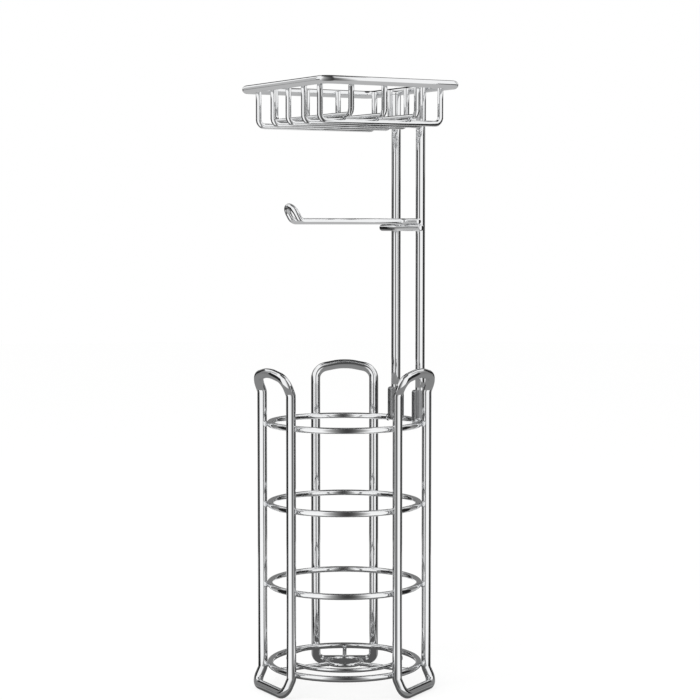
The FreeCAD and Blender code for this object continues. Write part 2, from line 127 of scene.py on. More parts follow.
class RodBends(bpy.types.PropertyGroup):
    """Bends of the rods that a box round a solid can't show"""

    foot_bend: length("Foot bend", "Bend between a leg's splayed foot and its foot bar", 9.5)
    foot_splay: angle("Foot splay", "Lean of a leg's foot away from its upright", 27.0)
    foot_reach: length("Foot reach", "How far the foot bar lies outside the uprights", 8.09)
    leg_bend: length("Leg bend", "Bends at the two ends of a leg's upright", 8.0)
    arch_flare: angle("Arch flare", "Lean of a leg's arch away from its upright", 22.0)
    arch_bend: length("Arch bend", "Bends at the shoulders of a leg's arch", 14.0)
    crown_rise: angle("Crown rise", "Rise of a leg's arch from its shoulders to its crown", 12.0)
    crown_bend: length("Crown bend", "Bends at the crown of a leg's arch", 50.0)
    crown_straight: length("Crown straight", "Half of the straight run at the crown", 1.5)
    arm_wire: length("Arm wire", "Thickness of the roll arm's rod", 6.4)
    arm_width: length("Arm width", "Between the centre lines of the arm's two rods", 18.0)
    arm_corner: length("Arm corner", "Bends where the arm's tails turn along the bar", 8.0)
    arm_tip_bend: length("Arm tip bend", "Bends where the arm's loop turns up", 8.0)
    arm_tip_rise: angle("Arm tip rise", "Rise of the arm's loop", 60.0)
    rim_corner: length("Rim corner", "Corner bends of the shelf's rim", 9.5)
    basket_bend: length("Basket bend", "Lower bends of a basket wire", 7.0)


class Making(bpy.types.PropertyGroup):
    """How finely the rods are swept, and how their ends and welds are finished"""

    sides: count("Rod sides", "Faces round a rod", 28, 8)
    bend_step: angle("Bend step", "Largest turn of one step of a bend", 5.0)
    ring_steps: count("Ring steps", "Steps round a wire ring", 128, 16)
    end_round: factor("End rounding", "Rounding of a cut end, as a share of the rod's radius", 0.45)
    end_steps: count("End steps", "Steps of a rounded edge", 4, 1)
    tube_wall: length("Tube wall", "Wall of the post tubes at their open lower ends", 1.2)
    tube_depth: length("Tube depth", "How far the open lower end of a post is hollow", 24.0)
    socket_round: length("Socket rounding", "Rounding of the sockets' outer edges", 0.8)
    socket_shoulder: length("Socket shoulder", "Rounding of a socket's shoulders, front and rear", 2.7)
    shoulder_steps: count("Shoulder steps", "Steps of a socket's shoulder", 8, 2)
    bore_gap: length("Bore gap", "Gap round a post in its socket", 0.05)
    bore_round: length("Bore rounding", "Rounding of the socket's mouth", 0.35)
    weld_spread: factor("Weld spread", "Radius of a weld, in radii of the thinner rod", 0.82)
    weld_height: factor("Weld height", "Half height of a weld, in radii of the thinner rod", 0.2)
    collar_spread: factor("Collar spread", "Radius of a weld round a rod's end, in rod radii", 1.3, 2.0)
    collar_height: factor("Collar height", "Half height of a weld round a rod's end, in rod radii", 0.3)
    post_weld_size: factor("Post weld size", "Rod radius for the weld at a post's head, in post radii", 0.84)
    post_weld_drop: factor("Post weld drop", "From a post's head to its weld, in radii of the rail", 0.8)
    stitch_length: length("Stitch length", "Half length of the welds between the arm and its bar", 3.6)
    stitch_width: factor("Stitch width", "Half width of those welds, in radii of the arm's rod", 0.574)
    stitch_reach: length("Stitch reach", "From a post's middle to the middle of such a weld", 7.2)


class Finish(bpy.types.PropertyGroup):
    """Colours and polish of the plating"""

    chrome: colour("Chrome", "Bright plating", 0.90, 0.905, 0.91)
    chrome_shade: colour("Chrome shade", "Plating under a thin haze", 0.82, 0.83, 0.845)
    chrome_roughness: factor("Chrome roughness", "Roughness of clean plating", 0.03)
    haze_roughness: factor("Haze roughness", "What a thin haze adds to the roughness", 0.03)
    haze_tint: factor("Haze tint", "How far a thin haze turns the colour", 0.6)
    scuff_roughness: factor("Scuff roughness", "What floor scuffs add to the roughness", 0.22)
    scuff_height: length("Scuff height", "How far up from the floor the feet are scuffed", 9.0)
    rub_ripple: factor("Rub ripple", "Height of the fine rubbing, next to the ripple of the tube", 0.03)
    satin: colour("Satin", "Satin plating of the sockets", 0.34, 0.345, 0.35)
    satin_bright: colour("Satin bright", "Satin plating where it is handled", 0.4012, 0.4071, 0.413)
    satin_roughness: factor("Satin roughness", "Roughness of the satin plating", 0.4)
    cloud_share: factor("Cloud share", "Share of soft clouds in the satin's colour; the rest is grain", 0.7)
    cloud_roughness: factor("Cloud roughness", "Spread of roughness over the satin's clouds", 0.12)
    grain_roughness: factor("Grain roughness", "Spread of roughness over the satin's grain", 0.08)
    weld: colour("Weld", "Plating over the welds", 0.74, 0.75, 0.765)
    weld_shade: colour("Weld shade", "Plating on the ripples of the welds", 0.6068, 0.615, 0.6273)
    weld_roughness: factor("Weld roughness", "Roughness of the plating over the welds", 0.16)
    weld_haze: factor("Weld haze", "What the ripples add to the welds' roughness", 0.14)


class Studio(bpy.types.PropertyGroup):
    """Camera, floor, light and the cards that the chrome reflects"""

    lens: FloatProperty(
        name="Lens", description="Focal length on the default sensor, in millimetres", default=97.7
    )
    camera_place: FloatVectorProperty(
        name="Camera place", description="Where the camera stands", default=(1.7376, -0.9964, 0.4887),
        subtype="TRANSLATION", unit="LENGTH",
    )
    camera_azimuth: angle("Camera azimuth", "Turn of the camera round the holder", 60.0)
    camera_tilt: angle("Camera tilt", "How far the camera looks down", 3.76)
    floor_radius: length("Floor radius", "Radius of the floor", 6000.0)
    floor: colour("Floor", "Colour of the floor", 0.97, 0.97, 0.965)
    floor_roughness: factor("Floor roughness", "Roughness of the floor", 0.8)
    floor_wear: factor("Floor wear", "What wear adds to the floor's roughness", 0.1)
    floor_lift: factor("Floor lift", "How far the floor is lifted to the white behind it", 0.8)
    fill: factor("Fill light", "Strength of the even light from all round", 1.0)
    key_power: FloatProperty(
        name="Key power", description="Power of the soft lamp", default=18.0, unit="POWER"
    )
    key_size: length("Key size", "Width of the soft lamp", 1400.0)
    key_right: length("Key right", "How far right of the view's middle the soft lamp hangs", -900.0)
    key_nearer: length("Key nearer", "How far in front of the holder the soft lamp hangs", 1100.0)
    key_height: length("Key height", "Height of the soft lamp", 1900.0)
    key_aim: length("Key aim", "Height on the holder's axis that the soft lamp points at", 300.0)
    card_distance: length("Card distance", "From the holder to the side and rear cards", 900.0)
    side_start: angle("Side card start", "Turn from the camera to a side card's near edge", 64.0)
    side_end: angle("Side card end", "Turn from the camera to a side card's far edge", 150.0)
    side_height: length("Side card height", "Height of the side cards and the front card", 750.0)
    rear_change: length("Rear card change", "Height where the rear card turns from grey to dark", 800.0)
    rear_height: length("Rear card height", "Height of the rear card", 3200.0)
    slot_start: angle("Slot start", "Turn from the camera to the near edge of a slot", 110.0)
    slot_end: angle("Slot end", "Turn from the camera to the far edge of a slot", 130.0)
    slot_height: length("Slot height", "Height where a slot's grey card ends and its pale one starts", 620.0)
    slot_top: length("Slot top", "Top of the pale card in a slot", 1300.0)
    front_distance: length("Front card distance", "From the holder's axis to the narrow front card", 135.0)
    front_left: length("Front card left", "Left edge of the front card, from the view's middle", -60.0)
    front_right: length("Front card right", "Right edge of the front card, from the view's middle", 76.0)
    dark_card: factor("Dark card", "Grey of the side cards and of the rear card's upper part", 0.02)
    grey_card: factor("Grey card", "Grey of the low cards in the slots and at the rear", 0.22)
    pale_card: factor("Pale card", "Grey of the high cards and the skirts of the slots", 0.5)
    front_card: factor("Front card", "Grey of the front card in its middle", 0.06)


# Shader nodes

class Signal:
    """A shader socket that Python sums and products can be made of."""

    def __init__(self, sheet, socket):
        self.sheet = sheet
        self.socket = socket

    def _math(self, operation, first, second):
        """A Math node on two values."""
        return self.sheet.add("ShaderNodeMath", {"operation": operation}, {0: first, 1: second})

    def __add__(self, other):
        return self._math("ADD", self, other)

    def __radd__(self, other):
        return self._math("ADD", other, self)

    def __sub__(self, other):
        return self._math("SUBTRACT", self, other)

    def __rsub__(self, other):
        return self._math("SUBTRACT", other, self)

    def __mul__(self, other):
        return self._math("MULTIPLY", self, other)

    def __rmul__(self, other):
        return self._math("MULTIPLY", other, self)

    def __truediv__(self, other):
        return self._math("DIVIDE", self, other)

    def __rtruediv__(self, other):
        return self._math("DIVIDE", other, self)

    def clamped(self):
        """The same value, held between nothing and one."""
        settings = {"operation": "ADD", "use_clamp": True}
        return self.sheet.add("ShaderNodeMath", settings, {0: self, 1: 0.0})


class NodeSheet:
    """The nodes of one material or of the world."""

    # Which sockets of a Mix node hold its two colours and the mixed one
    FIRST_COLOUR, SECOND_COLOUR, MIXED_COLOUR = 6, 7, 2

    def __init__(self, owner):
        owner.use_nodes = True
        self.tree = owner.node_tree
        self.tree.nodes.clear()

    def add(self, kind, settings=None, inputs=None, output=0):
        """A node of a type: first its settings, then the values or links of its sockets."""
        node = self.tree.nodes.new(kind)
        for name, value in (settings or {}).items():
            setattr(node, name, value)
        for name, value in (inputs or {}).items():
            if isinstance(value, Signal):
                self.tree.links.new(value.socket, node.inputs[name])
            else:
                node.inputs[name].default_value = value
        return Signal(self, node.outputs[output]) if node.outputs else None

    def place(self):
        """Where a point lies on the piece, which is where it lies in the frame."""
        return self.add("ShaderNodeTexCoord", output="Object")

    def noise(self, scale, detail, roughness=0.5):
        """Soft noise of so many features to the metre."""
        inputs = {"Vector": self.place(), "Scale": scale, "Detail": detail, "Roughness": roughness}
        return self.add("ShaderNodeTexNoise", None, inputs, "Fac")

    def height(self):
        """Height above the floor."""
        return self.add("ShaderNodeSeparateXYZ", None, {"Vector": self.place()}, "Z")

    def mix(self, share, first, second):
        """One colour turned into another by a share."""
        inputs = {"Factor": share, self.FIRST_COLOUR: (*first, 1.0), self.SECOND_COLOUR: (*second, 1.0)}
        return self.add("ShaderNodeMix", {"data_type": "RGBA"}, inputs, self.MIXED_COLOUR)

    def bump(self, height, strength, depth):
        """A normal from small heights in metres."""
        return self.add("ShaderNodeBump", None, {"Height": height, "Strength": strength, "Distance": depth})

    def principled(self, **inputs):
        """A surface, with its sockets named by words joined with an underscore."""
        named = {name.replace("_", " ").title(): value for name, value in inputs.items()}
        return self.add("ShaderNodeBsdfPrincipled", None, named)

    def emission(self, level):
        """An even glow of a grey level."""
        return self.add("ShaderNodeEmission", None, {"Color": (level, level, level, 1.0), "Strength": 1.0})

    def clear(self):
        """A surface that lets everything through."""
        return self.add("ShaderNodeBsdfTransparent")

    def blend(self, share, first, second):
        """One surface turned into another by a share."""
        return self.add("ShaderNodeMixShader", None, {0: share, 1: first, 2: second})

    def seen_directly(self):
        """One for rays that come from the camera, off metal or through glass."""
        paths = [
            self.add("ShaderNodeLightPath", output=name)
            for name in ("Is Camera Ray", "Is Glossy Ray", "Is Transmission Ray")
        ]
        return (paths[0] + paths[1] + paths[2]).clamped()

    def finish(self, surface, kind="ShaderNodeOutputMaterial"):
        """Send a shader to the output."""
        self.add(kind, None, {"Surface": surface})


def new_finish(name):
    """An empty material and its node sheet."""
    material = bpy.data.materials.new(name)
    return material, NodeSheet(material)


def polished_chrome(finish):
    """Bright plating over drawn tube: a thin uneven haze, faint ripple and scuffs near the floor."""
    material, sheet = new_finish("polished_chrome")
    haze = sheet.noise(scale=38.0, detail=4.0, roughness=0.6)
    rubbed = sheet.noise(scale=420.0, detail=3.0)
    near_floor = (1.0 - sheet.height() / finish.scuff_height).clamped()
    scuffs = near_floor * rubbed
    roughness = finish.chrome_roughness + haze * finish.haze_roughness + scuffs * finish.scuff_roughness
    ripple = sheet.noise(scale=60.0, detail=1.0) + finish.rub_ripple * rubbed
    tint = (haze * finish.haze_tint + scuffs).clamped()
    sheet.finish(sheet.principled(
        base_color=sheet.mix(tint, finish.chrome, finish.chrome_shade),
        metallic=1.0,
        roughness=roughness,
        normal=sheet.bump(ripple, strength=0.1, depth=0.02 * MILLIMETRE),
    ))
    return material


def satin_plating(finish):
    """Fine-grained dull plating of the cast sockets, a little brighter where it is handled."""
    material, sheet = new_finish("satin_plating")
    grain = sheet.noise(scale=2600.0, detail=3.0)
    cloud = sheet.noise(scale=110.0, detail=3.0)
    handled = (cloud * finish.cloud_share + grain * (1.0 - finish.cloud_share)).clamped()
    clouding = (cloud - NOISE_MIDDLE) * finish.cloud_roughness
    graining = (grain - NOISE_MIDDLE) * finish.grain_roughness
    sheet.finish(sheet.principled(
        base_color=sheet.mix(handled, finish.satin, finish.satin_bright),
        metallic=1.0,
        roughness=finish.satin_roughness + clouding + graining,
        normal=sheet.bump(grain, strength=0.2, depth=0.03 * MILLIMETRE),
    ))
    return material


def plated_weld(finish):
    """Plating over weld metal: uneven, rippled and a little dull."""
    material, sheet = new_finish("plated_weld")
    ripple = sheet.noise(scale=900.0, detail=3.0, roughness=0.6)
    sheet.finish(sheet.principled(
        base_color=sheet.mix(ripple, finish.weld, finish.weld_shade),
        metallic=1.0,
        roughness=finish.weld_roughness + ripple * finish.weld_haze,
        normal=sheet.bump(ripple, strength=0.35, depth=0.08 * MILLIMETRE),
    ))
    return material


FINISHES = {
    "polished_chrome": polished_chrome,
    "satin_plating": satin_plating,
    "plated_weld": plated_weld,
}


def finish_named(name):
    """A finish of the holder, made when a piece first asks for it."""
    return bpy.data.materials.get(name) or FINISHES[name](bpy.context.scene.holder_finish)


# Swept rods

def making():
    """How finely pieces are swept and finished."""
    return bpy.context.scene.holder_making


def parts_of(geometry, kind):
    """The parts of one kind among those that a bmesh operator gives."""
    return [part for part in geometry if isinstance(part, kind)]


def verts_round(section):
    """The vertices of a ring of edges."""
    return list(dict.fromkeys(vert for edge in section for vert in edge.verts))


def start_section(bm, centre, direction, radius):
    """A ring of edges square to a rod's line, where its sweep starts."""
    place = Matrix.Translation(centre) @ direction.to_track_quat("Z", "Y").to_matrix().to_4x4()
    verts = bmesh.ops.create_circle(bm, segments=making().sides, radius=radius, matrix=place)["verts"]
    return list(dict.fromkeys(edge for vert in verts for edge in vert.link_edges))


def run_straight(bm, section, step):
    """Draw a section out along a straight run."""
    if step.length < MERGE_DISTANCE:
        return section
    made = bmesh.ops.extrude_edge_only(bm, edges=section)["geom"]
    verts = parts_of(made, bmesh.types.BMVert)
    bmesh.ops.translate(bm, verts=verts, vec=step)
    ends = set(verts)
    return [edge for edge in parts_of(made, bmesh.types.BMEdge) if ends.issuperset(edge.verts)]


def run_bend(bm, section, centre, axis, turn):
    """Draw a section round a bend."""
    steps = max(LEAST_BEND_STEPS, math.ceil(turn / making().bend_step))
    made = bmesh.ops.spin(bm, geom=section, cent=centre, axis=axis, angle=turn, steps=steps)["geom_last"]
    return parts_of(made, bmesh.types.BMEdge)


def close_end(bm, section, radius):
    """A cut end with its edge rounded over."""
    bmesh.ops.contextual_create(bm, geom=section)
    round_edges(bm, section, radius * making().end_round)


def round_edges(bm, edges, offset):
    """Round edges over."""
    bmesh.ops.bevel(
        bm, geom=edges, offset=offset, offset_type="OFFSET", segments=making().end_steps, profile=0.5,
        affect="EDGES", material=-1,
    )


def sweep_rod(bm, points, bends, radius):
    """Sweep a round section through points, with each inner corner bent; gives both end sections."""
    first = section = start_section(bm, points[0], points[1] - points[0], radius)
    at = points[0]
    for before, corner, after, bend in zip(points, points[1:], points[2:], bends):
        arriving = (corner - before).normalized()
        leaving = (after - corner).normalized()
        turn = arriving.angle(leaving)
        setback = bend * math.tan(turn / 2)
        bend_start = corner - arriving * setback
        axis = arriving.cross(leaving).normalized()
        section = run_straight(bm, section, bend_start - at)
        section = run_bend(bm, section, bend_start + axis.cross(arriving) * bend, axis, turn)
        at = corner + leaving * setback
    return first, run_straight(bm, section, points[-1] - at)


def open_rod(points, bends, radius):
    """A bent rod with two rounded ends."""
    bm = bmesh.new()
    for section in sweep_rod(bm, points, bends, radius):
        close_end(bm, section, radius)
    return bm


def closed_rod(points, bends, radius):
    """A bent rod that comes back to its start."""
    bm = bmesh.new()
    sweep_rod(bm, [*points, points[0]], bends, radius)
    bmesh.ops.remove_doubles(bm, verts=bm.verts, dist=MERGE_DISTANCE)
    return bm


def wire_ring(node):
    """A wire ring round the holder's axis, the size of a packed ring."""
    middle, half = middle_and_half(node)
    wire = half.z
    centre = UP * middle.z
    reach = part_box(node)[1].x - wire
    bm = bmesh.new()
    section = start_section(bm, centre + ALONG_X * reach, ALONG_Y, wire)
    bmesh.ops.spin(
        bm, geom=section, cent=centre, axis=UP, angle=math.tau, steps=making().ring_steps, use_merge=True
    )
    return bm


def new_object(name, data):
    """An object, linked to the scene."""
    item = bpy.data.objects.new(name, data)
    bpy.context.scene.collection.objects.link(item)
    return item


def mesh_object(bm, name, material):
    """An object from a bmesh, which is then given up."""
    mesh = bpy.data.meshes.new(name)
    bm.to_mesh(mesh)
    bm.free()
    mesh.materials.append(material)
    return new_object(name, mesh)


def add_piece(bm, name, body, slot, finish, *nodes):
    """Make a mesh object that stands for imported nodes, rides on their body and has a finish."""
    bmesh.ops.recalc_face_normals(bm, faces=bm.faces)
    for face in bm.faces:
        face.smooth = True
    piece = mesh_object(bm, name, finish_named(finish))
    piece.data.set_sharp_from_angle(angle=SHARP_ANGLE)
    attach(piece, body)
    if nodes:
        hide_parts(*nodes)


# Places that pieces share

def middle_and_half(node):
    """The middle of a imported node's box, and half its size."""
    low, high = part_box(node)
    return (low + high) / 2, (high - low) / 2


def ring_reach():
    """Outer radius of the cage rings."""
    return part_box("top_ring")[1].x


def ring_height(name):
    """Height of a cage ring's centre line."""
    return middle_and_half(f"{name}_ring")[0].z


def ring_wire():
    """Radius of the cage rings' wire."""
    return middle_and_half("top_ring")[1].z


def tube_radius():
    """Radius of the leg and post tubes."""
    return middle_and_half("left_post")[1].x


def post_place(side):
    """Lower and upper end of a post's centre line."""
    low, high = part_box(f"{side}_post")
    across = (low.x + high.x) / 2
    back = low.y + tube_radius()
    return Vector((across, back, low.z)), Vector((across, back, high.z))


def leg_upright():
    """Centre line of a leg's upright, on the +Y side: distance to the side and to the back."""
    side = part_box("front_leg_loop")[1].x - tube_radius()
    return side, math.sqrt((ring_reach() + tube_radius()) ** 2 - side ** 2)


def turned(vector, turn):
    """A vector turned about the holder's axis."""
    return Matrix.Rotation(turn, 3, "Z") @ vector


def rail_line():
    """Lower and upper corner of the rim's centre line, and its radius."""
    low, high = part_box("shelf_rim")
    wire = (high.z - low.z) / 2
    inset = Vector((wire, wire, wire))
    return low + inset, high - inset, wire


def mirrored(points):
    """Points on the +X side, followed by their mirror images in turn."""
    return [*points, *(Vector((-point.x, point.y, point.z)) for point in reversed(points))]


# Operators for the cage

class ROLLHOLDER_OT_leg_loops(bpy.types.Operator):
    """Bend the three leg loops: foot bar, splayed feet, uprights and flared arch"""

    bl_idname = "roll_holder.leg_loops"
    bl_label = "Leg Loops"

    def execute(self, context):
        bends = context.scene.holder_bends
        low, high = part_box("front_leg_loop")
        tube = tube_radius()
        side, reach = leg_upright()
        foot_outer = reach + bends.foot_reach
        foot_top = tube + bends.foot_reach / math.tan(bends.foot_splay)
        crown_outer = -low.y - tube
        crown_top = high.z - tube
        shoulder = bends.crown_straight + bends.crown_bend * math.tan(bends.crown_rise / 2)
        lean = Vector((0, math.sin(bends.arch_flare), math.cos(bends.arch_flare)))
        spring = (crown_outer - reach) / lean.y
        corner = (side - shoulder) * math.tan(bends.crown_rise)
        corners = mirrored([
            Vector((side, foot_outer, tube)),
            Vector((side, reach, foot_top)),
            Vector((side, reach, crown_top - spring * lean.z)),
            Vector((side, crown_outer, crown_top)) - lean * corner,
            Vector((shoulder, crown_outer, crown_top)),
        ])
        radii = [bends.foot_bend, bends.leg_bend, bends.leg_bend, bends.arch_bend, bends.crown_bend]
        middle = Vector((0, foot_outer, tube))
        for name, turn in LEG_TURNS.items():
            bm = closed_rod([middle, *corners], [*radii, *reversed(radii)], tube)
            bmesh.ops.rotate(bm, verts=bm.verts, cent=ORIGIN, matrix=Matrix.Rotation(turn, 3, "Z"))
            add_piece(bm, f"{name}_leg_tube", "base", "tube", "polished_chrome", f"{name}_leg_loop")
        return {"FINISHED"}


class ROLLHOLDER_OT_cage_rings(bpy.types.Operator):
    """Spin the four rings of the roll cage"""

    bl_idname = "roll_holder.cage_rings"
    bl_label = "Cage Rings"

    def execute(self, context):
        for name in RING_NAMES:
            node = f"{name}_ring"
            add_piece(wire_ring(node), f"{name}_cage_wire", "base", "wire", "polished_chrome", node)
        return {"FINISHED"}


class ROLLHOLDER_OT_roll_rest(bpy.types.Operator):
    """Make the rest in the foot of the cage: its ring, hub and three spokes"""

    bl_idname = "roll_holder.roll_rest"
    bl_label = "Roll Rest"

    def execute(self, context):
        for node, name in (("roll_rest_ring", "rest_wire"), ("rest_hub_ring", "hub_wire")):
            add_piece(wire_ring(node), name, "base", "wire", "polished_chrome", node)
        middle, half = middle_and_half("front_rest_spoke")
        inner = Vector((0, -middle.y - half.y, middle.z))
        outer = Vector((0, -middle.y + half.y, middle.z))
        for name, turn in LEG_TURNS.items():
            bm = open_rod([turned(inner, turn), turned(outer, turn)], [], half.x)
            add_piece(bm, f"{name}_spoke_wire", "base", "wire", "polished_chrome", f"{name}_rest_spoke")
        return {"FINISHED"}


class ROLLHOLDER_OT_post_sockets(bpy.types.Operator):
    """Shape the two oval sockets on the top ring, bored for the posts"""

    bl_idname = "roll_holder.post_sockets"
    bl_label = "Post Sockets"

    def execute(self, context):
        bore = tube_radius() + making().bore_gap
        for side in SIDES:
            middle, half = middle_and_half(f"{side}_post_socket")
            foot = post_place(side)[0]
            straight = half.y - half.x
            bm = bmesh.new()
            lower = start_section(bm, middle - UP * half.z, UP, half.x)
            for vert in verts_round(lower):
                vert.co.y += math.copysign(straight, vert.co.y - middle.y)
            upper = self.raise_sleeve(bm, lower, middle, half)
            mouth_place = Vector((foot.x, foot.y, middle.z + half.z))
            mouth = start_section(bm, mouth_place, UP, bore)
            bmesh.ops.bridge_loops(bm, edges=[*upper, *mouth])
            seat = run_straight(bm, mouth, foot - mouth_place)
            bmesh.ops.contextual_create(bm, geom=seat)
            bmesh.ops.contextual_create(bm, geom=lower)
            rim = [edge for edge in bm.edges if on_mouth(edge, mouth_place, bore)]
            round_edges(bm, rim, making().bore_round)
            add_piece(bm, f"{side}_socket_sleeve", "base", "socket", "satin_plating", f"{side}_post_socket")
        return {"FINISHED"}

    def raise_sleeve(self, bm, section, middle, half):
        """Draw an oval up to a sleeve whose ends have broad shoulders front and rear; gives its top."""
        end = self.end_profile(half)
        levels = end + [(2 * half.z - drop, width, depth) for drop, width, depth in reversed(end)]
        centred = Matrix.Translation(-middle)
        height, last_width, last_depth = 0.0, 1.0, 1.0
        for level, width, depth in levels:
            section = run_straight(bm, section, UP * (level - height))
            change = (width / last_width, depth / last_depth, 1.0)
            bmesh.ops.scale(bm, verts=verts_round(section), vec=change, space=centred)
            height, last_width, last_depth = level, width, depth
        return section

    def end_profile(self, half):
        """Drops from a sleeve's end, each with the shares of the full width and depth there."""
        shoulder, edge, steps = making().socket_shoulder, making().socket_round, making().shoulder_steps
        profile = []
        for step in range(steps + 1):
            turn = math.pi / 2 * step / steps
            drop = shoulder * (1 - math.cos(turn))
            rounding_left = max(edge - drop, 0.0)
            narrower = edge - math.sqrt(edge ** 2 - rounding_left ** 2)
            shorter = shoulder * (1 - math.sin(turn))
            profile.append((drop, 1 - narrower / half.x, 1 - shorter / half.y))
        return profile


def on_mouth(edge, centre, radius):
    """Whether an edge lies on a bore's mouth."""
    return all((vert.co - centre).length < radius + MERGE_DISTANCE for vert in edge.verts)


# Operators for the upper frame

class ROLLHOLDER_OT_posts(bpy.types.Operator):
    """Draw the two post tubes, open below and welded to the rear rail above"""

    bl_idname = "roll_holder.posts"
    bl_label = "Posts"

    def execute(self, context):
        tube = tube_radius()
        for side in SIDES:
            foot, head = post_place(side)
            bm = bmesh.new()
            lower, upper = sweep_rod(bm, [foot, head], [], tube)
            close_end(bm, upper, tube)
            opening = bmesh.ops.contextual_create(bm, geom=lower)["faces"]
            bmesh.ops.inset_individual(bm, faces=opening, thickness=making().tube_wall)
            inner = bmesh.ops.extrude_discrete_faces(bm, faces=opening)["faces"]
            bmesh.ops.translate(bm, verts=inner[0].verts, vec=UP * making().tube_depth)
            add_piece(bm, f"{side}_post_tube", "upper_frame", "tube", "polished_chrome", f"{side}_post")
        return {"FINISHED"}


class ROLLHOLDER_OT_roll_arm(bpy.types.Operator):
    """Bend the hairpin roll arm and cut the bar under its tails"""

    bl_idname = "roll_holder.roll_arm"
    bl_label = "Roll Arm"

    def execute(self, context):
        middle, half = middle_and_half("arm_cross_bar")
        reach = ALONG_X * half.x
        bar = open_rod([middle - reach, middle + reach], [], half.z)
        add_piece(bar, "cross_bar_rod", "upper_frame", "wire", "polished_chrome", "arm_cross_bar")

        bends = context.scene.holder_bends
        low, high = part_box("roll_arm")
        wire = bends.arm_wire / 2
        side = bends.arm_width / 2
        rear = high.y - wire
        height = low.z + wire
        tip = Vector((side, low.y + wire, high.z - wire))
        bend = Vector((side, tip.y + (tip.z - height) / math.tan(bends.arm_tip_rise), height))
        points = mirrored([Vector((high.x, rear, height)), Vector((side, rear, height)), bend, tip])
        radii = [bends.arm_corner, bends.arm_tip_bend, side]
        arm = open_rod(points, [*radii, *reversed(radii)], wire)
        add_piece(arm, "hairpin_arm", "upper_frame", "wire", "polished_chrome", "roll_arm")
        return {"FINISHED"}


class ROLLHOLDER_OT_shelf_rim(bpy.types.Operator):
    """Bend the shelf's rim into a closed rounded rectangle"""

    bl_idname = "roll_holder.shelf_rim"
    bl_label = "Shelf Rim"

    def execute(self, context):
        corner = context.scene.holder_bends.rim_corner
        near, far, wire = rail_line()
        front = Vector((0, near.y, near.z))
        corners = mirrored([Vector((far.x, near.y, near.z)), Vector((far.x, far.y, near.z))])
        bm = closed_rod([front, *corners], [corner] * len(corners), wire)
        add_piece(bm, "rim_rod", "upper_frame", "wire", "polished_chrome", "shelf_rim")
        return {"FINISHED"}


class ROLLHOLDER_OT_basket_wires(bpy.types.Operator):
    """Bend the U-shaped wires of the basket, which stand inside the rim"""

    bl_idname = "roll_holder.basket_wires"
    bl_label = "Basket Wires"

    def execute(self, context):
        bend = context.scene.holder_bends.basket_bend
        for nodes, run in ((LONG_WIRES, ALONG_Y), (CROSS_WIRES, ALONG_X)):
            for node in nodes:
                middle, half = middle_and_half(node)
                wire = wire_radius(node)
                reach = run * (half.dot(run) - wire)
                end = middle + UP * half.z
                floor = middle - UP * (half.z - wire)
                points = [end - reach, floor - reach, floor + reach, end + reach]
                bm = open_rod(points, [bend, bend], wire)
                name = node.replace("wire", "rod")
                add_piece(bm, name, "upper_frame", "wire", "polished_chrome", node)
        return {"FINISHED"}


def wire_radius(node):
    """Radius of a basket wire, from the narrower side of its box."""
    half = middle_and_half(node)[1]
    return min(half.x, half.y)


# Operator for the welds

def add_weld(bm, place, pressed, along, spread, height, stretch=None):
    """A low bead where two rods meet, pressed along one direction and stretched along another."""
    across = pressed.cross(along).normalized()
    axes = Matrix((along, across, pressed)).transposed().to_4x4()
    scale = Matrix.Diagonal((stretch or spread, spread, height, 1.0))
    shape = Matrix.Translation(place) @ axes @ scale
    bmesh.ops.create_icosphere(bm, subdivisions=BEAD_SUBDIVISIONS, radius=1.0, matrix=shape)


